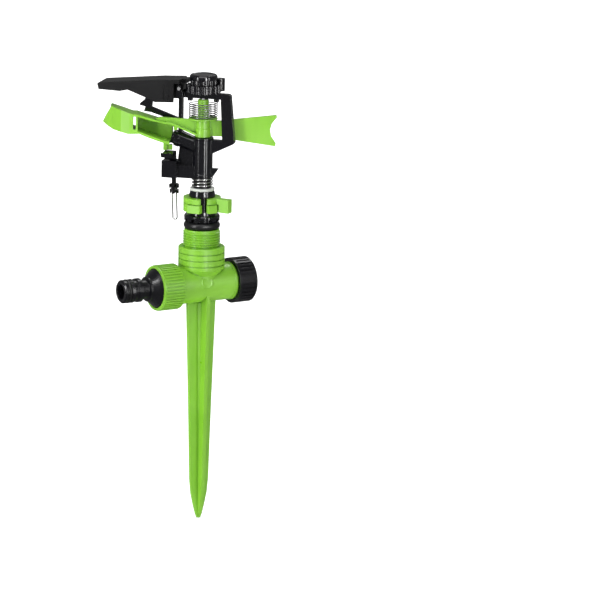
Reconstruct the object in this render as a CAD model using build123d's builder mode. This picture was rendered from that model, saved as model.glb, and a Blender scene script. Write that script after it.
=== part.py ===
"""Impact sprinkler on a ground spike, as an assembly of separate pieces.

Frame: millimetres, +Z up along the axis that the head turns on. The origin is where that
axis meets the ground line, which is the underside of the manifold. The manifold lies
along X, with its hose inlet at -X and its blanked outlet at +X.

Two planes carry the head. HEAD is turned about Z with the sprinkler head: its X-Z plane
holds the bridge, the nozzle and the deflector flap, and the nozzle points to its -X. ARM
is turned a little further: its X-Z plane holds the hammer arm where it rests against the
bridge, with the spoon at -X.
"""
import os
from math import cos, radians, sin

from build123d import *

os.makedirs("parts", exist_ok=True)

# ---------------------------------------------------------------- driving dimensions
HEAD_TURN = -45.0          # heading of the head against the manifold, in degrees
ARM_LEAD = 16.0            # the arm rests this far ahead of the bridge, in degrees

PIPE_R = 13.22             # G 3/4 male thread, crest radius
PIPE_ROOT = 12.1
PIPE_PITCH = 1.814
NUT_BORE = 13.5            # clears the male thread

TUBE_R = 13.25             # manifold tube
TUBE_Z = 13.5
TUBE_HALF = 22.5           # the tube's half length, without its threaded ends
WATER_R = 9.0

COLLAR_R = 16.5            # grip collar round the riser
COLLAR_LOW = 24.5
COLLAR_TOP = 41.0
STUB_TOP = 53.5

SPIKE_LENGTH = 159.0
FIN_THICK = 2.6
FIN_TOP_R = 11.3

SLEEVE_R = 8.6             # friction sleeve that the trip collars ride on
RING_OUT = 13.3
RING_IN = 8.7
STEM_R = 6.2               # bearing nipple
STEM_SEAT = 0.02           # radial room for the stem where it's fixed in the body
STEM_BORE = 4.3
FIT = 0.08                 # radial clearance of a running fit

BODY_LOW = 91.0
BODY_TOP = 118.5
BODY_R = 7.1
JET_Z = 111.4              # height at which the nozzle's axis crosses the turning axis
JET_TILT = 18.5            # upward tilt of the nozzle, in degrees
BARREL_R = 5.6
WEB_HALF = 2.3
BARREL_END = 20.2
NOZZLE_R = 5.1
NOZZLE_END = 23.0

BRIDGE_HALF = 2.3          # half depth of the bridge
BRIDGE_LEFT = -17.5
BRIDGE_TOP = 151.0
BAR_LOW = 147.0

PIN_R = 1.6                # fulcrum pin
HUB_LOW = 119.6
ARM_HALF = 1.3             # half thickness of the arm's web and tail

HINGE_X = -16.3            # flap hinge, in the head's frame
HINGE_Z = 153.7
HINGE_R = 1.2
FLAP_HALF = 9.5

TRIP_X = -20.3             # trip lever's pivot, in the head's frame
TRIP_Y = -3.5
TRIP_Z = 96.0
TRIP_TILT = 8.0            # the lever leans this far at rest, in degrees


# ---------------------------------------------------------------- planes
def turned(angle):
    """The ground frame, turned about Z by an angle in degrees."""
    a = radians(angle)
    return Plane(origin=(0, 0, 0), x_dir=(cos(a), sin(a), 0), z_dir=(0, 0, 1))


def side(frame, y=0.0):
    """A frame's X-Z plane, y away from its origin, with its normal towards -Y."""
    return Plane(origin=frame.origin + frame.y_dir * y, x_dir=frame.x_dir, z_dir=-frame.y_dir)


HEAD = turned(HEAD_TURN)
ARM = turned(HEAD_TURN + ARM_LEAD)
PIPE = Plane(origin=(0, 0, TUBE_Z), x_dir=(0, 1, 0), z_dir=(1, 0, 0))

tilt = radians(JET_TILT)
jet_dir = HEAD.x_dir * -cos(tilt) + Vector(0, 0, sin(tilt))
JET = Plane(origin=(0, 0, JET_Z), x_dir=HEAD.y_dir, z_dir=jet_dir)

lean = radians(TRIP_TILT)
trip_up = HEAD.y_dir * -sin(lean) + Vector(0, 0, cos(lean))
trip_at = HEAD.x_dir * TRIP_X + HEAD.y_dir * TRIP_Y + Vector(0, 0, TRIP_Z)
TRIP = Plane(origin=trip_at, x_dir=HEAD.x_dir, z_dir=trip_up)


# ---------------------------------------------------------------- outlines
def thread_outline(start, end, root, crest, pitch):
    """Points along a threaded length, radius first, as rings with a V section."""
    points = [(root, start)]
    at = start + 0.4
    while at + pitch <= end:
        points.append((root, at + 0.1 * pitch))
        points.append((crest, at + 0.42 * pitch))
        points.append((crest, at + 0.58 * pitch))
        points.append((root, at + 0.9 * pitch))
        at += pitch
    points.append((root, end))
    return points


def closed(points):
    """A face from corner points, in the sketch that calls it and where the points say."""
    Polygon(*points, align=None)


# ================================================================ the fixed base
# ---- spike and manifold: one green moulding
fin = [
    (0, 8),
    (FIN_TOP_R, 8),
    (FIN_TOP_R, 0),
    (8.8, -72),
    (7.1, -130),
    (6.0, -140.5),
    (4.1, -149),
    (2.3, -155.5),
    (1.2, -158.3),
    (0, -SPIKE_LENGTH),
]
stub = thread_outline(COLLAR_TOP, STUB_TOP, PIPE_ROOT + 0.3, PIPE_R, PIPE_PITCH)
spigot = thread_outline(TUBE_HALF, 33.6, PIPE_ROOT, PIPE_R, PIPE_PITCH)

with BuildPart() as spike_manifold:
    with BuildSketch(PIPE):
        Circle(TUBE_R)
    extrude(amount=TUBE_HALF, both=True)
    with BuildSketch(PIPE.offset(TUBE_HALF - 1.6)):
        Circle(TUBE_R + 0.35)
    extrude(amount=1.6)
    # riser: neck, grip collar with three grooves, and the threaded stub
    with BuildSketch(Plane.XZ):
        closed([(0, TUBE_Z), (12.6, TUBE_Z), (12.6, 21), (15.6, COLLAR_LOW), (COLLAR_R, COLLAR_LOW + 0.8),
                (COLLAR_R, COLLAR_TOP - 0.6), (COLLAR_R - 0.6, COLLAR_TOP), *stub, (0, STUB_TOP)])
    revolve(axis=Axis.Z)
    with BuildSketch(Plane.XZ):
        for height in (28.2, 32.5, 36.8):
            with Locations((COLLAR_R, height)):
                Rectangle(1.1, 0.75)
    revolve(axis=Axis.Z, mode=Mode.SUBTRACT)
    # threaded ends
    for direction in (-1, 1):
        with BuildSketch(Plane.XZ):
            closed([(0, TUBE_Z), *[(direction * along, TUBE_Z + radius) for radius, along in spigot],
                    (direction * 33.6, TUBE_Z)])
        revolve(axis=Axis(origin=(0, 0, TUBE_Z), direction=(1, 0, 0)))
    # the spike: two crossed blades on a tapered core
    for blade in (Plane.XZ, Plane.YZ):
        with BuildSketch(blade):
            closed(fin)
            mirror(about=Plane.YZ)
        extrude(amount=FIN_THICK / 2, both=True)
    with Locations((0, 0, -72)):
        Cone(bottom_radius=1.2, top_radius=3.2, height=144)
    # waterways
    with BuildSketch(PIPE.offset(-33.6)):
        Circle(WATER_R)
    extrude(amount=67.2, mode=Mode.SUBTRACT)
    with BuildSketch(Plane.XY.offset(TUBE_Z)):
        Circle(8.7)
    extrude(amount=STUB_TOP - TUBE_Z, mode=Mode.SUBTRACT)
    with BuildSketch(Plane.XY.offset(39.0)):
        Circle(10.8)
    extrude(amount=STUB_TOP - 39.0, mode=Mode.SUBTRACT)

spike_manifold.part.label = "spike_manifold"
export_step(spike_manifold.part, "parts/spike_manifold.step")

# ---- hose nipple: quick-connect tail with its flange inside the swivel nut
NIPPLE_TIP = -64.5
FLANGE_X = -36.4
nipple_profile = [
    (0.0, 5.4), (0.0, 7.4), (0.9, 8.3), (3.2, 8.3), (3.2, 6.5), (5.5, 6.5), (5.5, 8.3), (8.2, 8.5),
    (9.0, 7.5), (11.0, 7.5), (11.6, 8.5), (14.6, 8.5), (15.6, 7.0), (19.4, 7.0), (20.2, 8.9), (21.4, 8.9),
    (25.4, 12.4), (27.4, 13.8), (28.1, 13.8), (28.1, 14.6), (30.2, 14.6), (30.2, 5.4),
]
with BuildPart() as hose_nipple:
    with BuildSketch(Plane.XZ):
        closed([(NIPPLE_TIP + along, TUBE_Z + radius) for along, radius in nipple_profile])
    revolve(axis=Axis(origin=(0, 0, TUBE_Z), direction=(1, 0, 0)))
hose_nipple.part.label = "hose_nipple"
export_step(hose_nipple.part, "parts/hose_nipple.step")

with BuildPart() as nipple_o_ring:
    with BuildSketch(Plane.XZ):
        with Locations((NIPPLE_TIP + 4.35, TUBE_Z + 7.55)):
            Circle(1.0)
    revolve(axis=Axis(origin=(0, 0, TUBE_Z), direction=(1, 0, 0)))
nipple_o_ring.part.label = "nipple_o_ring"
export_step(nipple_o_ring.part, "parts/nipple_o_ring.step")

with BuildPart() as inlet_washer:
    with BuildSketch(PIPE.offset(-34.2)):
        Circle(13.0)
        Circle(8.4, mode=Mode.SUBTRACT)
    extrude(amount=0.6)
inlet_washer.part.label = "inlet_washer"
export_step(inlet_washer.part, "parts/inlet_washer.step")

# ---- swivel nut: fine ribs outside, thread bore and a lip behind the nipple's flange
NUT_R = 15.85
NUT_LEFT = -37.4
NUT_RIGHT = -20.8
NUT_LENGTH = NUT_RIGHT - NUT_LEFT
with BuildPart() as inlet_nut:
    with BuildSketch(PIPE.offset(NUT_LEFT)):
        Circle(NUT_R)
    extrude(amount=NUT_LENGTH)
    with BuildSketch(PIPE.offset(NUT_LEFT + 1.3)):
        Circle(NUT_R)
        with PolarLocations(NUT_R, 46):
            Rectangle(0.9, 1.05)
    extrude(amount=NUT_LENGTH - 2.0)
    # thread bore, the lip that holds the nipple's flange, the recess behind it, and the skirt
    bores = ((NUT_LEFT, NUT_LENGTH, NUT_BORE), (NUT_LEFT, 1.0, 14.1), (NUT_LEFT + 0.8, 2.4, 14.9),
             (NUT_RIGHT - 2.8, 2.8, TUBE_R + 0.5))
    for start, length, radius in bores:
        with BuildSketch(PIPE.offset(start)):
            Circle(radius)
        extrude(amount=length, mode=Mode.SUBTRACT)
inlet_nut.part.label = "inlet_nut"
export_step(inlet_nut.part, "parts/inlet_nut.step")

# ---- end cap: wide flutes, closed end, flat washer inside
CAP_R = 16.2
CAP_LEFT = 23.3
CAP_RIGHT = 37.6
with BuildPart() as end_cap:
    with BuildSketch(PIPE.offset(CAP_LEFT)):
        Circle(CAP_R)
    extrude(amount=CAP_RIGHT - CAP_LEFT)
    chamfer(end_cap.edges().group_by(Axis.X)[-1], 0.8)
    with BuildSketch(PIPE.offset(CAP_LEFT + 1.6)):
        with PolarLocations(CAP_R, 32):
            Rectangle(1.9, 1.35)
    extrude(amount=CAP_RIGHT - CAP_LEFT - 3.4, mode=Mode.SUBTRACT)
    with BuildSketch(PIPE.offset(CAP_LEFT)):
        Circle(NUT_BORE)
    extrude(amount=12.2, mode=Mode.SUBTRACT)
end_cap.part.label = "end_cap"
export_step(end_cap.part, "parts/end_cap.step")

with BuildPart() as cap_washer:
    with BuildSketch(PIPE.offset(33.75)):
        Circle(13.0)
    extrude(amount=1.7)
cap_washer.part.label = "cap_washer"
export_step(cap_washer.part, "parts/cap_washer.step")

# ---- bearing base: threaded plug, castellated flange, friction sleeve and bell
SEAL_R = 2.72
SEAL_Z = STUB_TOP + SEAL_R + 0.03
FLANGE_LOW = 59.1
FLANGE_TOP = 64.0
base_thread = thread_outline(41.6, 51.4, 9.3, 10.48, PIPE_PITCH)
with BuildPart() as bearing_base:
    with BuildSketch(Plane.XZ):
        closed([(STEM_R + FIT, 41.6), *base_thread, (7.4, 51.6), (7.4, FLANGE_LOW), (11.6, FLANGE_LOW),
                (12.6, FLANGE_LOW + 0.8), (12.6, FLANGE_TOP - 0.9), (11.9, FLANGE_TOP), (9.9, FLANGE_TOP),
                (9.6, 66.3), (SLEEVE_R, 66.3), (SLEEVE_R, 76.7), (9.3, 76.7), (9.3, 77.8), (8.9, 79.4),
                (8.5, 81.1), (STEM_R + FIT, 81.1)])
    revolve(axis=Axis.Z)
    with BuildSketch(Plane.XY.offset(FLANGE_LOW)):
        with PolarLocations(12.0, 12):
            Rectangle(3.4, 2.6)
    extrude(amount=2.5, mode=Mode.SUBTRACT)
bearing_base.part.label = "bearing_base"
export_step(bearing_base.part, "parts/bearing_base.step")

with BuildPart() as riser_seal:
    with BuildSketch(Plane.XZ):
        with Locations((7.5 + SEAL_R, SEAL_Z)):
            Circle(SEAL_R)
    revolve(axis=Axis.Z)
riser_seal.part.label = "riser_seal"
export_step(riser_seal.part, "parts/riser_seal.step")

with BuildPart() as upper_thrust_washer:
    with BuildSketch(Plane.XY.offset(81.2)):
        Circle(8.7)
        Circle(STEM_R + FIT, mode=Mode.SUBTRACT)
    extrude(amount=1.8)
    fillet(upper_thrust_washer.edges().filter_by(GeomType.CIRCLE).group_by(SortBy.RADIUS)[-1], 0.4)
upper_thrust_washer.part.label = "upper_thrust_washer"
export_step(upper_thrust_washer.part, "parts/upper_thrust_washer.step")

# ---- trip collars: split rings with finger lugs beside the split, and a radial stop tab
SPLIT_AT = HEAD_TURN + ARM_LEAD - 84.0
LOWER_COLLAR = 66.6        # underside of each collar
UPPER_COLLAR = 72.5


def ring_face(split_at, split_width):
    """A split ring's face, with its gap at split_at degrees."""
    Circle(RING_OUT)
    Circle(RING_IN, mode=Mode.SUBTRACT)
    with PolarLocations(RING_OUT - 2.0, 1, start_angle=split_at):
        Rectangle(9.0, split_width, mode=Mode.SUBTRACT)


LOWER_TAB_AT = HEAD_TURN + ARM_LEAD + 92.0
with BuildPart() as lower_collar:
    with BuildSketch(Plane.XY.offset(LOWER_COLLAR)):
        ring_face(SPLIT_AT, 4.6)
    extrude(amount=5.6)
    with BuildSketch(Plane.XY.offset(LOWER_COLLAR)):
        with PolarLocations(12.6, 1, start_angle=SPLIT_AT - 31.0):
            Rectangle(4.4, 9.6)
        with PolarLocations(12.6, 1, start_angle=SPLIT_AT + 27.0):
            Rectangle(4.0, 6.4)
        with PolarLocations(17.35, 1, start_angle=LOWER_TAB_AT):
            Rectangle(10.3, 5.4)
    extrude(amount=5.6)
lower_collar.part.label = "lower_collar"
export_step(lower_collar.part, "parts/lower_collar.step")

UPPER_TAB_AT = HEAD_TURN + ARM_LEAD - 29.0
with BuildPart() as upper_collar:
    with BuildSketch(Plane.XY.offset(UPPER_COLLAR)):
        ring_face(SPLIT_AT, 4.6)
        with PolarLocations(17.5, 1, start_angle=UPPER_TAB_AT):
            Rectangle(10.0, 5.4)
        with PolarLocations(12.3, 1, start_angle=SPLIT_AT - 25.0):
            Rectangle(3.0, 5.6)
    extrude(amount=3.9)
    with BuildSketch(Plane.XY.offset(LOWER_COLLAR + 0.2)):
        with PolarLocations(18.6, 1, start_angle=UPPER_TAB_AT):
            Rectangle(7.8, 5.4)
    extrude(amount=6.2)
upper_collar.part.label = "upper_collar"
export_step(upper_collar.part, "parts/upper_collar.step")

# ================================================================ the turning head
# ---- bearing nipple and its lower washers
with BuildPart() as bearing_nipple:
    with BuildSketch(Plane.XZ):
        closed([(STEM_BORE, 36.5), (8.2, 36.5), (8.2, 38.5), (STEM_R, 38.5), (STEM_R, 99.0), (STEM_BORE, 99.0)])
    revolve(axis=Axis.Z)
bearing_nipple.part.label = "bearing_nipple"
export_step(bearing_nipple.part, "parts/bearing_nipple.step")

with BuildPart() as lower_thrust_washer:
    with BuildSketch(Plane.XY.offset(38.6)):
        Circle(8.1)
        Circle(STEM_R + FIT, mode=Mode.SUBTRACT)
    extrude(amount=1.2)
lower_thrust_washer.part.label = "lower_thrust_washer"
export_step(lower_thrust_washer.part, "parts/lower_thrust_washer.step")

with BuildPart() as lower_seal_washer:
    with BuildSketch(Plane.XY.offset(39.9)):
        Circle(8.1)
        Circle(STEM_R + FIT, mode=Mode.SUBTRACT)
    extrude(amount=1.6)
lower_seal_washer.part.label = "lower_seal_washer"
export_step(lower_seal_washer.part, "parts/lower_seal_washer.step")

# ---- springs: coils of round wire
def coil(radius, wire, start, along, turns, pitch):
    """Sweep round wire along a coil, inside the part that calls it."""
    path = Helix(pitch=pitch, height=turns * pitch, radius=radius, center=start, direction=along)
    with BuildSketch(Plane(origin=path @ 0, z_dir=path % 0), mode=Mode.PRIVATE) as wire_end:
        Circle(wire)
    sweep(wire_end.sketch, path=path)


with BuildPart() as bearing_spring:
    coil(7.1, 0.45, (0, 0, 83.6), (0, 0, 1), 3.0, 2.2)
bearing_spring.part.label = "bearing_spring"
export_step(bearing_spring.part, "parts/bearing_spring.step")

ARM_SPRING_R = 9.9
with BuildPart() as arm_spring:
    coil(ARM_SPRING_R, 0.32, (0, 0, 133.3), (0, 0, 1), 7.0, 1.52)
arm_spring.part.label = "arm_spring"
export_step(arm_spring.part, "parts/arm_spring.step")

# ---- body: elbow, nozzle barrel, bridge, flap lugs, stop post and trip housing
bridge_outside = [
    (BRIDGE_LEFT, 117), (BRIDGE_LEFT, BRIDGE_TOP), (18.8, BRIDGE_TOP), (20.2, 150.0),
    (23.4, 116.6), (22.4, 115.4), (6.5, 107.5), (0, 107.5),
]
bridge_window = [
    (-15.0, 122.2), (-15.0, BAR_LOW), (13.2, BAR_LOW), (14.6, 118.8), (13.6, 117.8), (-3.0, 117.8),
]
stop_post = [
    (-17.2, 128.6), (-38.0, 134.8), (-43.2, 135.2), (-42.2, 138.6), (-46.6, 139.4), (-46.0, 141.0),
    (-42.6, 144.0), (-41.2, 151.2), (-36.6, 151.2), (-37.6, 138.6), (-17.2, 131.8),
]
flap_lug = [(-18.9, 148.0), (-18.0, 155.8), (-16.8, 156.8), (-15.2, 156.2), (-13.4, 148.0)]
with BuildPart() as sprinkler_body:
    with BuildSketch(Plane.XZ):
        closed([(0, BODY_LOW), (7.5, BODY_LOW), (7.5, 92.6), (BODY_R, 93.2), (BODY_R, BODY_TOP - 1.0),
                (7.6, BODY_TOP - 0.6), (7.6, BODY_TOP + 0.4), (6.9, BODY_TOP + 0.8), (0, BODY_TOP + 0.8)])
    revolve(axis=Axis.Z)
    # nozzle barrel
    with BuildSketch(JET):
        Circle(BARREL_R)
    extrude(amount=BARREL_END)
    with BuildSketch(JET.offset(BARREL_END - 3.0)):
        Circle(BARREL_R + 0.5)
    extrude(amount=3.0)
    # bridge
    with BuildSketch(side(HEAD)):
        closed(bridge_outside)
        Polygon(*bridge_window, align=None, mode=Mode.SUBTRACT)
    extrude(amount=BRIDGE_HALF, both=True)
    # hinge lugs on a widened end of the top bar
    with BuildSketch(side(HEAD)):
        with Locations((-15.6, 149.2)):
            Rectangle(4.4, 3.6)
    extrude(amount=6.3, both=True)
    for near in (-6.3, 4.2):
        with BuildSketch(side(HEAD, near)):
            closed(flap_lug)
        extrude(amount=-2.1)
    # stop post behind the arm
    with BuildSketch(side(HEAD)):
        closed(stop_post)
    extrude(amount=1.3, both=True)
    # spring anchors under the top bar, and the knob's boss on it
    with BuildSketch(side(HEAD)):
        with Locations((-9.6, 146.2), (9.6, 146.2)):
            Rectangle(3.0, 2.6)
    extrude(amount=1.8, both=True)
    with BuildSketch(HEAD.offset(BRIDGE_TOP - 1)):
        Circle(6.4)
    extrude(amount=1)
    with BuildSketch(HEAD.offset(BRIDGE_TOP)):
        Circle(4.0)
    extrude(amount=7.0)
    # trip housing on its neck
    with BuildSketch(HEAD.offset(90.0)):
        with Locations((TRIP_X - 2.0, TRIP_Y)):
            Rectangle(10.8, 10.4)
    extrude(amount=12.0)
    with BuildSketch(HEAD.offset(90.0)):
        with Locations((-11.0, -3.0)):
            Rectangle(13.6, 6.4)
    extrude(amount=8.8)
    with BuildSketch(HEAD.offset(88.0)):
        with Locations((TRIP_X, TRIP_Y)):
            Rectangle(4.8, 7.4)
    extrude(amount=20.0, mode=Mode.SUBTRACT)
    # web that ties the housing's neck to the barrel
    with BuildSketch(side(HEAD)):
        closed([(-4.0, 98.0), (-17.4, 98.0), (-17.4, 104.0), (-16.2, 113.6), (-4.0, 109.0)])
    extrude(amount=WEB_HALF, both=True)
    # rear stiffening wing
    with BuildSketch(side(HEAD)):
        closed([(5.5, 99.0), (7.0, 97.2), (11.6, 97.2), (7.4, BODY_LOW), (5.5, BODY_LOW)])
    extrude(amount=1.8, both=True)
    # waterway, nozzle socket, pin holes
    with BuildSketch(HEAD.offset(BODY_LOW - 1)):
        Circle(STEM_R + STEM_SEAT)
    extrude(amount=9.0, mode=Mode.SUBTRACT)
    with BuildSketch(HEAD.offset(BODY_LOW)):
        Circle(STEM_BORE)
    extrude(amount=JET_Z - BODY_LOW, mode=Mode.SUBTRACT)
    with BuildSketch(JET):
        Circle(STEM_BORE - 0.3)
    extrude(amount=BARREL_END, mode=Mode.SUBTRACT)
    with BuildSketch(HEAD.offset(116.6)):
        Circle(PIN_R)
    extrude(amount=BRIDGE_TOP + 6.0 - 116.6, mode=Mode.SUBTRACT)
    with BuildSketch(side(HEAD, -7)):
        with Locations((HINGE_X, HINGE_Z)):
            Circle(HINGE_R)
    extrude(amount=-14, mode=Mode.SUBTRACT)
    with BuildSketch(Plane(origin=trip_at, x_dir=HEAD.y_dir, z_dir=-HEAD.x_dir)):
        Circle(0.8)
    extrude(amount=7, both=True, mode=Mode.SUBTRACT)
sprinkler_body.part.label = "sprinkler_body"
export_step(sprinkler_body.part, "parts/sprinkler_body.step")

# ---- nozzle: screwed into the barrel
with BuildPart() as nozzle:
    with BuildSketch(JET.offset(BARREL_END + 0.1)):
        Circle(NOZZLE_R - 0.4)
        with PolarLocations(NOZZLE_R - 0.6, 8):
            Rectangle(1.2, 1.8)
    extrude(amount=NOZZLE_END - BARREL_END - 0.9)
    with BuildSketch(JET.offset(NOZZLE_END - 1.2)):
        Circle(NOZZLE_R)
    extrude(amount=1.2)
    with BuildSketch(JET.offset(9.0)):
        Circle(STEM_BORE - 0.3)
    extrude(amount=BARREL_END + 0.2 - 9.0)
    with BuildSketch(JET.offset(9.0)) as inlet_mouth:
        Circle(3.3)
    with BuildSketch(JET.offset(19.0)) as throat:
        Circle(2.0)
    loft(sections=[inlet_mouth.sketch, throat.sketch], mode=Mode.SUBTRACT)
    with BuildSketch(JET.offset(18.5)):
        Circle(2.0)
    extrude(amount=5.0, mode=Mode.SUBTRACT)
nozzle.part.label = "nozzle"
export_step(nozzle.part, "parts/nozzle.step")

with BuildPart() as fulcrum_pin:
    with BuildSketch(HEAD.offset(116.6)):
        Circle(PIN_R)
    extrude(amount=BRIDGE_TOP + 5.0 - 116.6)
fulcrum_pin.part.label = "fulcrum_pin"
export_step(fulcrum_pin.part, "parts/fulcrum_pin.step")

with BuildPart() as flap_hinge_pin:
    with BuildSketch(side(HEAD, -6.6)):
        with Locations((HINGE_X, HINGE_Z)):
            Circle(HINGE_R)
    extrude(amount=-13.2)
flap_hinge_pin.part.label = "flap_hinge_pin"
export_step(flap_hinge_pin.part, "parts/flap_hinge_pin.step")

with BuildPart() as trip_pivot_pin:
    with BuildSketch(Plane(origin=trip_at, x_dir=HEAD.y_dir, z_dir=-HEAD.x_dir)):
        Circle(0.8)
    extrude(amount=5.4, both=True)
trip_pivot_pin.part.label = "trip_pivot_pin"
export_step(trip_pivot_pin.part, "parts/trip_pivot_pin.step")

# ================================================================ the hammer arm
ARM_TOP = [
    (-5.0, -4.4), (-22.0, -3.6), (-46.5, -2.2), (-52.0, -0.6), (-58.0, 2.6), (-64.0, 8.4), (-68.0, 14.4),
    (-71.0, 21.8), (-66.0, 22.4), (-56.0, 18.4), (-44.0, 14.2), (-26.0, 11.8), (-19.8, 10.8), (-20.6, 6.0),
    (-20.0, ARM_HALF), (-4.0, ARM_HALF),
]
ARM_SIDE = [
    (-4.7, 120.6), (-17.6, 126.5), (-22.4, 113.3), (-38.0, 118.4), (-45.0, 121.2), (-53.0, 120.6),
    (-63.6, 122.4), (-71.2, 125.4), (-64.9, 138.8), (-56.0, 136.6), (-49.5, 134.8), (-46.4, 134.9),
    (-38.0, 132.6), (-30.0, 130.4), (-21.0, 128.9), (-4.7, 122.0),
]
channel_plan = [
    (-24.0, -8.0), (-47.0, -8.0), (-47.0, 12.8), (-26.0, 10.2), (-17.0, 8.8), (-17.0, 1.0),
]
channel_side = [
    (-17.0, 126.2), (-20.0, 127.3), (-38.0, 131.0), (-46.0, 133.2), (-46.0, 123.0), (-38.0, 120.2),
    (-27.6, 116.8), (-17.0, 114.4),
]
spoon_plan = [
    (-50.2, 28.0), (-50.2, 1.4), (-52.6, 1.2), (-57.2, 3.8), (-62.8, 9.4), (-66.6, 15.2), (-70.0, 23.6),
    (-70.0, 28.0),
]
spoon_side = [(-40.0, 122.6), (-53.0, 122.1), (-72.0, 127.0), (-72.0, 139.2), (-56.0, 135.2), (-40.0, 131.9)]
slot_side = [(-47.4, 133.2), (-49.3, 133.4), (-49.3, 124.3), (-47.4, 124.0)]

with BuildPart() as vane:
    with BuildSketch(side(ARM)):
        closed(ARM_SIDE)
    extrude(amount=40, both=True)
    with BuildSketch(ARM.offset(100)):
        closed(ARM_TOP)
    extrude(amount=50, mode=Mode.INTERSECT)
with BuildPart() as channel:
    with BuildSketch(side(ARM)):
        closed(channel_side)
    extrude(amount=40, both=True)
    with BuildSketch(ARM.offset(100)):
        closed(channel_plan)
    extrude(amount=50, mode=Mode.INTERSECT)
with BuildPart() as spoon_hollow:
    with BuildSketch(side(ARM)):
        closed(spoon_side)
    extrude(amount=40, both=True)
    with BuildSketch(ARM.offset(100)):
        closed(spoon_plan)
    extrude(amount=50, mode=Mode.INTERSECT)

tail_side = [
    (3.0, 120.0), (3.0, 131.6), (14.0, 131.0), (23.0, 132.4), (51.6, 135.6), (52.0, 134.2), (48.4, 129.6),
    (47.2, 125.2), (48.0, 120.4), (51.4, 115.2), (50.8, 113.4), (23.0, 117.4), (14.0, 120.0),
]
NOZZLE_SWEEP = 23.8         # the arm keeps outside this radius at the nozzle's height
with BuildPart() as hammer_arm:
    add(vane.part)
    add(channel.part, mode=Mode.SUBTRACT)
    add(spoon_hollow.part, mode=Mode.SUBTRACT)
    with BuildSketch(side(ARM, -10)):
        closed(slot_side)
    extrude(amount=-40, mode=Mode.SUBTRACT)
    # clearance for the nozzle as the arm swings
    with BuildSketch(ARM.offset(100)):
        Circle(NOZZLE_SWEEP)
    extrude(amount=24.6, mode=Mode.SUBTRACT)
    # beam over the nozzle, its web behind the channel's rim
    with BuildSketch(side(ARM)):
        closed([(-3.0, 122.0), (-21.0, 128.4), (-30.0, 130.0), (-34.0, 132.0), (-30.0, 133.2), (-3.0, 131.6)])
    extrude(amount=ARM_HALF, both=True)
    with BuildSketch(side(ARM, -4.4)):
        closed([(-3.0, 119.9), (-21.0, 128.0), (-26.0, 129.3), (-26.0, 130.6), (-21.0, 129.4), (-3.0, 121.4)])
    extrude(amount=-5.6)
    # tail with its notched paddle
    with BuildSketch(side(ARM)):
        closed(tail_side)
    extrude(amount=ARM_HALF, both=True)
    # hub, and the sleeve that the spring sits round
    with BuildSketch(Plane.XZ):
        closed([(0, HUB_LOW), (5.6, HUB_LOW), (5.6, 125.4), (5.1, 125.9), (5.1, 132.6), (10.2, 132.2), (10.2, 132.9),
                (3.9, 132.9), (3.9, 145.6), (3.5, 146.2), (0, 146.2)])
    revolve(axis=Axis.Z)
    # lug that the trip lever catches
    with BuildSketch(ARM.offset(109.3)):
        with Locations((-24.4, 3.6)):
            Rectangle(6.0, 3.6)
    extrude(amount=3.6)
    with BuildSketch(ARM.offset(109.3)):
        with Locations((-26.6, 3.6)):
            Rectangle(2.6, 5.6)
    extrude(amount=7.6)
    with BuildSketch(ARM.offset(HUB_LOW - 1)):
        Circle(PIN_R + FIT)
    extrude(amount=40, mode=Mode.SUBTRACT)
hammer_arm.part.label = "hammer_arm"
export_step(hammer_arm.part, "parts/hammer_arm.step")

# ================================================================ range knob and flap
KNOB_LOW = BRIDGE_TOP + 0.3
RING_TOP = 156.8
LOBE_AT = 46.0             # the thumb lobe's bearing in the head's frame
with BuildPart() as range_knob:
    with BuildSketch(HEAD.offset(KNOB_LOW)):
        Circle(11.2)
        with PolarLocations(10.7, 15):
            Circle(1.7)
    extrude(amount=RING_TOP - KNOB_LOW)
    with BuildSketch(HEAD.offset(KNOB_LOW)):
        with PolarLocations(13.5, 1, start_angle=LOBE_AT):
            Circle(3.4)
    extrude(amount=8.8)
    with BuildSketch(HEAD.offset(KNOB_LOW)):
        Circle(6.8)
    extrude(amount=8.0)
    with BuildSketch(HEAD.offset(KNOB_LOW)):
        Circle(4.0 + FIT)
    extrude(amount=10.0, mode=Mode.SUBTRACT)
range_knob.part.label = "range_knob"
export_step(range_knob.part, "parts/range_knob.step")

CAP_TOP = 164.2
with BuildPart() as knob_cap:
    with BuildSketch(Plane.XZ):
        closed([(6.9, 157.0), (9.4, 157.0), (9.4, 160.6), (9.8, 161.0), (9.8, 162.9), (9.1, 163.9),
                (8.2, CAP_TOP), (7.4, 163.8),
                (0, 163.8), (0, 159.6), (6.9, 159.6)])
    revolve(axis=Axis.Z)
    with BuildSketch(HEAD.offset(157.0)):
        with PolarLocations(9.9, 12, start_angle=18):
            Circle(1.5)
    extrude(amount=3.4, mode=Mode.SUBTRACT)
knob_cap.part.label = "knob_cap"
export_step(knob_cap.part, "parts/knob_cap.step")

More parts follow.
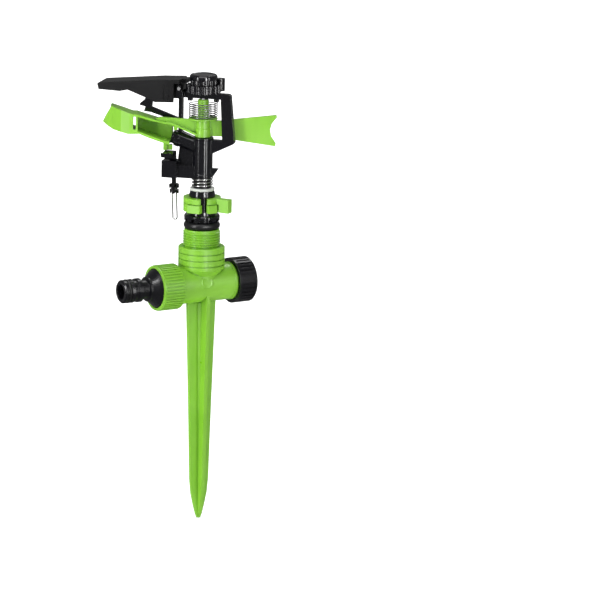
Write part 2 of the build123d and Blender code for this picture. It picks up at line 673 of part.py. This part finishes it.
flap_side = [
    (-75.4, 154.2), (-74.4, 150.4), (-58.8, 149.9), (-53.0, 151.2), (-40.3, 146.7), (-33.0, 143.6),
    (-19.6, 144.2), (-19.3, 148.4), (-19.3, 157.4), (-15.6, 157.6), (-10.6, 157.8), (-10.6, 160.8), (-26.0, 160.0),
    (-31.0, 159.8), (-74.2, 155.4),
]
flap_hollow = [
    (-72.8, 153.0), (-72.8, 140.0), (-8.0, 140.0), (-8.0, 157.4), (-32.0, 157.4),
]
with BuildPart() as deflector_flap:
    with BuildSketch(side(HEAD)):
        closed(flap_side)
    extrude(amount=FLAP_HALF, both=True)
    with BuildSketch(side(HEAD)):
        closed(flap_hollow)
    extrude(amount=FLAP_HALF - 1.7, both=True, mode=Mode.SUBTRACT)
    # narrow tail over the knob's ring
    for edge in (-FLAP_HALF - 1, 3.9):
        with BuildSketch(side(HEAD, edge)):
            with Locations((-9.5, 158)):
                Rectangle(11.0, 8)
        extrude(amount=-(FLAP_HALF + 1 - 3.9), mode=Mode.SUBTRACT)
    with BuildSketch(side(HEAD)):
        with Locations((HINGE_X, HINGE_Z)):
            Circle(2.35)
        closed([(-18.8, 154.0), (-20.6, 158.6), (-12.6, 158.6), (-13.8, 154.0)])
    extrude(amount=3.9, both=True)
    with BuildSketch(side(HEAD, -5)):
        with Locations((HINGE_X, HINGE_Z)):
            Circle(HINGE_R + FIT)
    extrude(amount=-10, mode=Mode.SUBTRACT)
    # recessed bands and screw bosses on both skirts
    for outside, inward in ((-FLAP_HALF, -0.6), (FLAP_HALF, 0.6)):
        with BuildSketch(side(HEAD, outside)):
            with Locations((-24.4, 150.6)):
                Rectangle(5.0, 10.0)
        extrude(amount=inward, mode=Mode.SUBTRACT)
        with BuildSketch(side(HEAD, outside)):
            with Locations((-24.4, 148.0)):
                Circle(1.5)
        extrude(amount=inward)
deflector_flap.part.label = "deflector_flap"
export_step(deflector_flap.part, "parts/deflector_flap.step")

# ================================================================ trip lever
with BuildPart() as trip_lever:
    with BuildSketch(TRIP.offset(-14.0)):
        Circle(1.6)
    extrude(amount=12.0)
    with BuildSketch(TRIP.offset(-3.0)):
        with Locations((0.7, 0)):
            Rectangle(2.6, 4.4)
    extrude(amount=8.0)
    with BuildSketch(TRIP.offset(4.5)):
        Rectangle(4.0, 3.0)
    extrude(amount=8.3)
    # head of the lever above the housing, with a finger that rises into the lug's path
    with BuildSketch(TRIP.offset(6.6)):
        with Locations((-2.3, 0)):
            Rectangle(7.8, 3.0)
    extrude(amount=6.2)
    with BuildSketch(TRIP.offset(10.8)):
        with Locations((-2.3, -5.0)):
            Rectangle(7.8, 9.0)
    extrude(amount=2.0)
    with BuildSketch(TRIP.offset(12.0)):
        with Locations((-2.3, -9.0)):
            Rectangle(7.8, 1.4)
    extrude(amount=1.9)
    with BuildSketch(Plane(origin=trip_at, x_dir=HEAD.y_dir, z_dir=-HEAD.x_dir)):
        Circle(0.8 + FIT)
    extrude(amount=7, both=True, mode=Mode.SUBTRACT)
trip_lever.part.label = "trip_lever"
export_step(trip_lever.part, "parts/trip_lever.step")

with BuildPart() as trip_spring:
    coil(1.35, 0.16, trip_at - HEAD.x_dir * 2.3, HEAD.x_dir, 2.0, 0.38)
trip_spring.part.label = "trip_spring"
export_step(trip_spring.part, "parts/trip_spring.step")

# wire clip: two flanges on a waist, under the end of the lever's shaft
CLIP_LOW = -18.0
WIRE_R = 0.45
WIRE_PIVOT = -16.2
LEG_X = 1.55
END_GAP = 0.4
WIRE_END_R = 0.4
wire_pivot = Plane(origin=trip_at + TRIP.z_dir * WIRE_PIVOT, x_dir=TRIP.y_dir, z_dir=TRIP.x_dir)
with BuildPart() as wire_clip:
    for low, height, radius in ((CLIP_LOW, 2.2, 3.3), (CLIP_LOW, 6.0, 2.3), (CLIP_LOW + 4.0, 2.0, 3.6)):
        with BuildSketch(TRIP.offset(low)):
            Circle(radius)
        extrude(amount=height)
    with BuildSketch(TRIP.offset(-14.0)):
        Circle(1.6)
    extrude(amount=3.0, mode=Mode.SUBTRACT)
    # slots that the wire's legs fold through
    for leg in (-LEG_X, LEG_X):
        with BuildSketch(TRIP.offset(CLIP_LOW)):
            with Locations((leg, 0)):
                Rectangle(1.2, 9.0)
        extrude(amount=3.6, mode=Mode.SUBTRACT)
        with BuildSketch(TRIP.offset(CLIP_LOW)):
            with Locations((leg, -3.0)):
                Rectangle(1.2, 6.0)
        extrude(amount=7.0, mode=Mode.SUBTRACT)
    with BuildSketch(wire_pivot):
        Circle(WIRE_END_R + FIT)
    extrude(amount=LEG_X, both=True, mode=Mode.SUBTRACT)
wire_clip.part.label = "wire_clip"
export_step(wire_clip.part, "parts/wire_clip.step")

WIRE_LOW = -36.6
with BuildPart() as trip_wire:
    with BuildSketch(TRIP.offset(WIRE_LOW)):
        with Locations((-LEG_X, 0), (LEG_X, 0)):
            Circle(WIRE_R)
    extrude(amount=WIRE_PIVOT + WIRE_R - WIRE_LOW)
    # round bottom bend joining the two legs
    with BuildSketch(TRIP.offset(WIRE_LOW)):
        with Locations((LEG_X, 0)):
            Circle(WIRE_R)
    revolve(axis=Axis(trip_at + TRIP.z_dir * WIRE_LOW, TRIP.y_dir), revolution_arc=180)
    # the ends turn inwards and pivot in the clip
    for way in (-1, 1):
        with BuildSketch(wire_pivot.offset(way * END_GAP)):
            Circle(WIRE_END_R)
        extrude(amount=way * (LEG_X - END_GAP))
trip_wire.part.label = "trip_wire"
export_step(trip_wire.part, "parts/trip_wire.step")
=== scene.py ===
"""Looks of the impact sprinkler: materials, small moulded details, floor, light and camera."""
import math

import bmesh
import bpy
from mathutils import Matrix, Vector


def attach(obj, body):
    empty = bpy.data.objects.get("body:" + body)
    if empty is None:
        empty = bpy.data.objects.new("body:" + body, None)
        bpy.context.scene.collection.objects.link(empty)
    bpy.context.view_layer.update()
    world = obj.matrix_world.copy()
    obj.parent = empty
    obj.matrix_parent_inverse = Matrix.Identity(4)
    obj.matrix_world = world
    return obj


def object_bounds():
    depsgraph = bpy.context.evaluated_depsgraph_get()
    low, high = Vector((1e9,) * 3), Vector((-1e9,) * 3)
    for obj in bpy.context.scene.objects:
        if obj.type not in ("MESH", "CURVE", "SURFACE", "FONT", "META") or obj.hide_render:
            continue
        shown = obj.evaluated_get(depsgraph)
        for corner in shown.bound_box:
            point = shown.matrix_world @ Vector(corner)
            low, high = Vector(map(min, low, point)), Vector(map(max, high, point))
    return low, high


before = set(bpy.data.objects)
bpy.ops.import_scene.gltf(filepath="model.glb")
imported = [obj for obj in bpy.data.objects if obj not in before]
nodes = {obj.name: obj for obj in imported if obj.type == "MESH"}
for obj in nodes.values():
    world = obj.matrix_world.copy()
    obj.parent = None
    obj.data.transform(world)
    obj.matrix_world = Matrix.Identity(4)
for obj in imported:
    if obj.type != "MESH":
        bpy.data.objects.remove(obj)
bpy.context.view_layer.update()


def placed(name, data):
    """A new object in the scene that shows the data."""
    item = bpy.data.objects.new(name, data)
    bpy.context.collection.objects.link(item)
    return item


# ---------------------------------------------------------------- shader helpers
# how far into corners the painted shade reaches
PAINTED_SHADE_REACH = 0.0026


class Shader:
    """A material under construction: adds nodes, links them and keeps the principled shader."""

    def __init__(self, name):
        self.material = bpy.data.materials.new(name)
        self.material.use_nodes = True
        self.tree = self.material.node_tree
        self.tree.nodes.clear()
        self.out = self.tree.nodes.new("ShaderNodeOutputMaterial")
        self.bsdf = self.tree.nodes.new("ShaderNodeBsdfPrincipled")
        self.link(self.bsdf.outputs["BSDF"], self.out.inputs["Surface"])
        self.at = self.tree.nodes.new("ShaderNodeTexCoord").outputs["Object"]

    def link(self, source, target):
        self.tree.links.new(source, target)

    def stretched(self, scale, turn=(0, 0, 0)):
        """Object coordinates stretched by scale, for streaks and scratches."""
        node = self.tree.nodes.new("ShaderNodeMapping")
        node.inputs["Scale"].default_value = scale
        node.inputs["Rotation"].default_value = turn
        self.link(self.at, node.inputs["Vector"])
        return node.outputs["Vector"]

    def noise(self, scale, detail=3.0, roughness=0.5, at=None):
        node = self.tree.nodes.new("ShaderNodeTexNoise")
        node.inputs["Scale"].default_value = scale
        node.inputs["Detail"].default_value = detail
        node.inputs["Roughness"].default_value = roughness
        self.link(at or self.at, node.inputs["Vector"])
        return node.outputs["Fac"]

    def ramp(self, source, stops):
        """Maps 0..1 to greys or colours through (place, value) stops."""
        node = self.tree.nodes.new("ShaderNodeValToRGB")
        ramp = node.color_ramp
        while len(ramp.elements) < len(stops):
            ramp.elements.new(0.5)
        for element, (place, value) in zip(ramp.elements, stops):
            element.position = place
            grey = (value, value, value)
            element.color = (*(value if isinstance(value, tuple) else grey), 1)
        self.link(source, node.inputs["Fac"])
        return node.outputs["Color"]

    def mixed(self, factor, first, second, way="MIX"):
        """Mixes two colours, each an output or an RGB tuple, by a factor, an output or a number."""
        node = self.tree.nodes.new("ShaderNodeMix")
        node.data_type = "RGBA"
        node.blend_type = way
        for name, value in (("Factor_Float", factor), ("A_Color", first), ("B_Color", second)):
            socket = next(s for s in node.inputs if s.identifier == name)
            if isinstance(value, tuple):
                socket.default_value = (*value, 1)
            elif isinstance(value, float):
                socket.default_value = value
            else:
                self.link(value, socket)
        return next(s for s in node.outputs if s.identifier == "Result_Color")

    def scaled(self, source, low, high):
        """Maps 0..1 to low..high."""
        node = self.tree.nodes.new("ShaderNodeMapRange")
        node.inputs["To Min"].default_value = low
        node.inputs["To Max"].default_value = high
        self.link(source, node.inputs["Value"])
        return node.outputs["Result"]

    def corner_shade_mask(self, reach):
        """1 on open surfaces, falling to 0 in corners narrower than reach; the mask for shade
        painted into corners.
        """
        node = self.tree.nodes.new("ShaderNodeAmbientOcclusion")
        node.samples = 6
        node.inputs["Distance"].default_value = reach
        return node.outputs["AO"]

    def bumps(self, edge, *layers):
        """Rounds edges by a radius, then stacks (height output, distance, strength) bumps."""
        node = self.tree.nodes.new("ShaderNodeBevel")
        node.samples = 4
        node.inputs["Radius"].default_value = edge
        normal = node.outputs["Normal"]
        for height, distance, strength in layers:
            node = self.tree.nodes.new("ShaderNodeBump")
            node.inputs["Distance"].default_value = distance
            node.inputs["Strength"].default_value = strength
            self.link(height, node.inputs["Height"])
            self.link(normal, node.inputs["Normal"])
            normal = node.outputs["Normal"]
        self.link(normal, self.bsdf.inputs["Normal"])


def moulded(name, light, dark, gloss, rough, grain, shine=0.5, painted_shade=None):
    """Injection-moulded plastic: flow marks in the colour, uneven gloss, scratches and grain.
    A painted shade colour, if given, is painted into the corners as shade."""
    s = Shader(name)
    clouds = s.noise(28.0, 4.0, 0.55)
    swirl = s.noise(90.0, 2.0, 0.6, s.stretched((1.0, 1.0, 0.25)))
    base = s.mixed(s.ramp(clouds, ((0.32, 0.0), (0.68, 1.0))), dark, light)
    streak = s.ramp(swirl, ((0.35, 0.9125), (0.65, 1.0)))
    base = s.mixed(1.0, base, streak, "MULTIPLY")
    scuffs = s.ramp(s.noise(34.0, 8.0, 0.8, s.stretched((26.0, 3.0, 3.0), (0.4, 0.7, 1.1))),
                    ((0.66, 0.0), (0.72, 1.0)))
    dust = s.ramp(s.noise(1400.0, 2.0), ((0.70, 0.0), (0.80, 1.0)))
    marks = s.mixed(0.5, scuffs, dust, "ADD")
    pale = tuple(min(1.0, v * 1.25 + 0.010) for v in light)
    base = s.mixed(s.scaled(marks, 0.0, 0.30), base, pale)
    # painted shade: corners are darkened towards the painted shade colour
    if painted_shade:
        painted_shade_mask = s.ramp(s.corner_shade_mask(PAINTED_SHADE_REACH), ((0.20, 0.0), (0.75, 1.0)))
        base = s.mixed(painted_shade_mask, painted_shade, base)
    s.link(base, s.bsdf.inputs["Base Color"])
    uneven = s.mixed(0.45, s.noise(55.0, 5.0, 0.6), scuffs, "ADD")
    s.link(s.scaled(uneven, gloss, rough), s.bsdf.inputs["Roughness"])
    s.bsdf.inputs["Specular IOR Level"].default_value = shine
    s.bumps(0.0004, (s.noise(60.0, 2.0), 0.0006, 0.10), (s.noise(2600.0, 2.0), 0.00006, grain))
    return s


def translucent(finish, weight, radius):
    """Lets light into a finish, as far as radius gives for red, green and blue."""
    finish.bsdf.inputs["Subsurface Weight"].default_value = weight
    finish.bsdf.inputs["Subsurface Radius"].default_value = radius
    finish.bsdf.inputs["Subsurface Scale"].default_value = 1.0


def metal(name, colour, gloss, rough, streak_scale):
    """Drawn or turned steel: streaks along one way, with a little tarnish."""
    s = Shader(name)
    streaks = s.noise(220.0, 5.0, 0.7, s.stretched(streak_scale))
    tarnish = s.ramp(s.noise(420.0, 4.0), ((0.45, 1.0), (0.75, 0.72)))
    shade = tuple(v * 0.82 for v in colour)
    drawn = s.mixed(s.ramp(streaks, ((0.3, 0.0), (0.7, 1.0))), shade, colour)
    base = s.mixed(1.0, drawn, tarnish, "MULTIPLY")
    s.link(base, s.bsdf.inputs["Base Color"])
    s.link(s.scaled(streaks, gloss, rough), s.bsdf.inputs["Roughness"])
    s.bsdf.inputs["Metallic"].default_value = 1.0
    s.bumps(0.0001, (streaks, 0.00004, 0.25))
    return s


def soft(name, light, dark, rough, grain):
    """Rubber: dull, with a dusty bloom in patches and a pebbled skin."""
    s = Shader(name)
    bloom = s.ramp(s.noise(160.0, 6.0, 0.7), ((0.40, 0.0), (0.72, 1.0)))
    s.link(s.mixed(bloom, dark, light), s.bsdf.inputs["Base Color"])
    s.link(s.scaled(s.noise(120.0, 4.0), rough - 0.10, rough + 0.12), s.bsdf.inputs["Roughness"])
    s.bsdf.inputs["Specular IOR Level"].default_value = 0.35
    s.bumps(0.0003, (s.noise(1500.0, 3.0), 0.00008, grain))
    return s


# ---------------------------------------------------------------- materials
GREEN_LIGHT = (0.208, 0.475, 0.034)
GREEN_DARK = (0.172, 0.425, 0.022)
# painted shade colour for the corners of the green plastic
GREEN_PAINTED_SHADE = (0.095, 0.300, 0.006)
green = moulded("green_plastic", GREEN_LIGHT, GREEN_DARK, 0.22, 0.40, 0.30, 0.5, GREEN_PAINTED_SHADE)
translucent(green, 0.06, (0.0012, 0.0020, 0.0006))
BLACK_LIGHT = (0.0045, 0.0045, 0.0062)
black = moulded("gloss_black_plastic", BLACK_LIGHT, (0.0025, 0.0025, 0.0038),
                0.06, 0.18, 0.25, 0.50)
satin = moulded("satin_black_plastic", BLACK_LIGHT, (0.0025, 0.0026, 0.0038),
                0.16, 0.30, 0.50, 0.40)
flap = moulded("flap_plastic", (0.0040, 0.0040, 0.0044), (0.0024, 0.0024, 0.0028),
               0.26, 0.42, 0.60, 0.22)
nylon = moulded("white_nylon", (0.50, 0.52, 0.49), (0.42, 0.44, 0.40), 0.32, 0.52, 0.35)
translucent(nylon, 0.2, (0.0015, 0.0015, 0.0012))
rubber = soft("black_rubber", (0.010, 0.010, 0.011), (0.004, 0.004, 0.005), 0.34, 0.4)
wire = metal("steel_wire", (0.50, 0.50, 0.49), 0.14, 0.30, (1.0, 1.0, 9.0))
spring = metal("spring_steel", (0.20, 0.20, 0.21), 0.16, 0.34, (1.0, 1.0, 9.0))
pin = metal("steel_pin", (0.42, 0.42, 0.42), 0.22, 0.42, (9.0, 9.0, 1.0))

FINISHES = {
    green: ("spike_manifold", "inlet_nut", "lower_collar", "upper_collar", "hammer_arm"),
    black: ("sprinkler_body", "bearing_base", "range_knob", "knob_cap", "trip_lever", "wire_clip",
            "nozzle", "bearing_nipple"),
    satin: ("hose_nipple", "end_cap"),
    flap: ("deflector_flap",),
    nylon: ("upper_thrust_washer", "lower_thrust_washer"),
    rubber: ("riser_seal", "nipple_o_ring", "inlet_washer", "cap_washer", "lower_seal_washer"),
    wire: ("trip_wire", "bearing_spring"),
    spring: ("arm_spring", "trip_spring"),
    pin: ("fulcrum_pin", "flap_hinge_pin", "trip_pivot_pin"),
}
for finish, names in FINISHES.items():
    for name in names:
        nodes[name].data.materials.clear()
        nodes[name].data.materials.append(finish.material)


# ---------------------------------------------------------------- small moulded and wire details
def shown_mesh(name, mesh, finish, body):
    """Turns a bmesh into a smooth-shaded piece with a finish, riding on a body."""
    data = bpy.data.meshes.new(name)
    bmesh.ops.recalc_face_normals(mesh, faces=mesh.faces)
    mesh.to_mesh(data)
    mesh.free()
    for face in data.polygons:
        face.use_smooth = True
    data.materials.append(finish.material)
    piece = placed(name, data)
    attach(piece, body)


PIPE_R = 0.01325
PIPE_Z = 0.0135
BOSS_R = 0.0046
BOSS_PROUD = 0.00035
# share of the boss's radius, and rise as a share of how proud it stands
BOSS_RINGS = ((0.0, 0.62), (0.55, 0.66), (0.74, 0.72), (0.82, 1.0), (0.93, 1.0),
              (1.0, 0.55), (1.04, -0.6))
BOSS_STEPS = 48


def boss_on_pipe(name, centre_x, turn):
    """A shallow round boss with a rolled rim, wrapped on the front of the manifold's pipe."""
    mesh = bmesh.new()
    last = None
    for share, rise in BOSS_RINGS:
        row = []
        for step in range(BOSS_STEPS if share else 1):
            a = 2 * math.pi * step / BOSS_STEPS
            along = centre_x + BOSS_R * share * math.cos(a)
            bend = turn + BOSS_R * share * math.sin(a) / PIPE_R
            reach = PIPE_R + BOSS_PROUD * rise
            spot = (along, -reach * math.cos(bend), PIPE_Z + reach * math.sin(bend))
            row.append(mesh.verts.new(spot))
        if last is not None:
            for step in range(BOSS_STEPS):
                after = (step + 1) % BOSS_STEPS
                if len(last) == 1:
                    mesh.faces.new((last[0], row[step], row[after]))
                else:
                    mesh.faces.new((last[step], row[step], row[after], last[after]))
        last = row
    shown_mesh(name, mesh, green, "base")


def bent_wire(name, points, radius, body):
    """A short piece of spring wire through the points, with rounded bends."""
    curve = bpy.data.curves.new(name, "CURVE")
    curve.dimensions = "3D"
    curve.bevel_depth = radius
    curve.bevel_resolution = 4
    curve.use_fill_caps = True
    spline = curve.splines.new("NURBS")
    spline.points.add(len(points) - 1)
    for point, place in zip(spline.points, points):
        point.co = (*place, 1)
    spline.order_u = 3
    spline.use_endpoint_u = True
    curve.materials.append(spring.material)
    piece = placed(name, curve)
    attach(piece, body)


boss_on_pipe("manifold_boss", -0.0020, math.radians(14))


def head_point(x, y, z):
    """A point given in the head's frame, in millimetres."""
    c = math.sqrt(0.5)
    return ((x + y) * c / 1000, (y - x) * c / 1000, z / 1000)


# the arm spring's upper end turns up to its anchor
UPPER_END = ((9.8, 1.6, 143.8), (9.9, 0.6, 144.6), (9.7, -0.6, 145.4),
             (9.6, -1.9, 145.9), (9.6, -2.3, 147.0))
bent_wire("arm_spring_upper_end", [head_point(*place) for place in UPPER_END], 0.00033, "head")

# ---------------------------------------------------------------- floor, light and camera
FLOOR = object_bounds()[0].z - 0.0005
STAGE_BACK = 3.0       # where the floor starts to curve up
STAGE_CURVE = 1.5
STAGE_SPAN = 9.0
AZIMUTH = -29.0
VIEW_FROM = 3.0        # camera's distance from the turning axis, level with the ground, in metres
VIEW_HEIGHT = 0.685
LENS = 259.6
AIM_HEIGHT = 0.0024
SIDEWAYS = 1.346       # puts the object left of the middle of the frame, in degrees
ROLL = 1.03


def out_from(azimuth, distance, z):
    """A point at that distance from the turning axis; azimuth 0 is towards -Y."""
    a = math.radians(azimuth)
    return Vector((math.sin(a) * distance, -math.cos(a) * distance, z))


def backdrop():
    """A pale floor that curves up into the wall behind the object."""
    mesh = bmesh.new()
    profile = [(-STAGE_SPAN, 0.0), (STAGE_BACK, 0.0)]
    for step in range(1, 13):
        a = math.radians(90 * step / 12)
        profile.append((STAGE_BACK + STAGE_CURVE * math.sin(a),
                        STAGE_CURVE - STAGE_CURVE * math.cos(a)))
    profile.append((STAGE_BACK + STAGE_CURVE, STAGE_SPAN))
    rows = []
    for along, up in profile:
        rows.append([mesh.verts.new((x, along, up))
                     for x in (-STAGE_SPAN, -STAGE_SPAN / 3, STAGE_SPAN / 3, STAGE_SPAN)])
    for first, second in zip(rows, rows[1:]):
        for a, b, c, d in zip(first, first[1:], second[1:], second):
            mesh.faces.new((a, b, c, d))
    data = bpy.data.meshes.new("studio_floor")
    mesh.to_mesh(data)
    mesh.free()
    for face in data.polygons:
        face.use_smooth = True
    floor = placed("studio_floor", data)
    turned = Matrix.Rotation(math.radians(AZIMUTH), 4, "Z")
    floor.matrix_world = Matrix.Translation((0, 0, FLOOR)) @ turned
    s = Shader("studio_paper")
    s.link(s.ramp(s.noise(2.0, 3.0), ((0.3, 0.90), (0.7, 0.93))), s.bsdf.inputs["Base Color"])
    s.link(s.scaled(s.noise(300.0, 3.0), 0.75, 0.9), s.bsdf.inputs["Roughness"])
    s.bsdf.inputs["Specular IOR Level"].default_value = 0.2
    s.bsdf.inputs["Emission Color"].default_value = (1, 1, 1, 1)
    s.bsdf.inputs["Emission Strength"].default_value = 0.36
    data.materials.append(s.material)
    floor.visible_glossy = False


def softbox(name, azimuth, distance, z, size, power, aim=(0, 0, 0.03)):
    """A rectangular light that points at aim."""
    light = bpy.data.lights.new(name, "AREA")
    light.shape = "RECTANGLE"
    light.size, light.size_y = size
    light.energy = power
    lamp = placed(name, light)
    lamp.location = out_from(azimuth, distance, z)
    lamp.rotation_euler = (Vector(aim) - lamp.location).to_track_quat("-Z", "Y").to_euler()
    return lamp


backdrop()
softbox("key_left", AZIMUTH - 50, 1.5, 0.55, (0.24, 1.5), 24.0)
softbox("strip_right", AZIMUTH + 46, 1.6, 0.40, (0.14, 1.5), 10.0)
# the glint only shows in reflections
glint = softbox("glint", AZIMUTH + 22, 1.2, 0.30, (0.14, 0.9), 12.0)
glint.visible_diffuse = False
softbox("top", AZIMUTH - 10, 0.45, 1.5, (1.3, 1.3), 14.0)
softbox("wall_left", AZIMUTH + 160, 1.6, 1.6, (1.4, 1.4), 24.0, (-1.2, 2.6, 0.6))
softbox("wall_right", AZIMUTH + 200, 1.6, 1.6, (1.4, 1.4), 24.0, (2.2, 2.2, 0.6))

world = bpy.data.worlds.new("studio")
world.use_nodes = True
sky = world.node_tree.nodes["Background"]
sky.inputs["Color"].default_value = (1, 1, 1, 1)
sky.inputs["Strength"].default_value = 0.20
bpy.context.scene.world = world
bpy.context.scene.view_settings.view_transform = "Standard"

lens = bpy.data.cameras.new("photo_view")
lens.lens = LENS
camera = placed("photo_view", lens)
camera.location = out_from(AZIMUTH, VIEW_FROM, VIEW_HEIGHT)
to_object = Vector((0, 0, AIM_HEIGHT)) - camera.location
ahead = Matrix.Rotation(math.radians(-SIDEWAYS), 3, "Z") @ to_object
level = ahead.to_track_quat("-Z", "Y").to_matrix()
camera.rotation_euler = (level @ Matrix.Rotation(math.radians(ROLL), 3, "Z")).to_euler()
bpy.context.scene.camera = camera
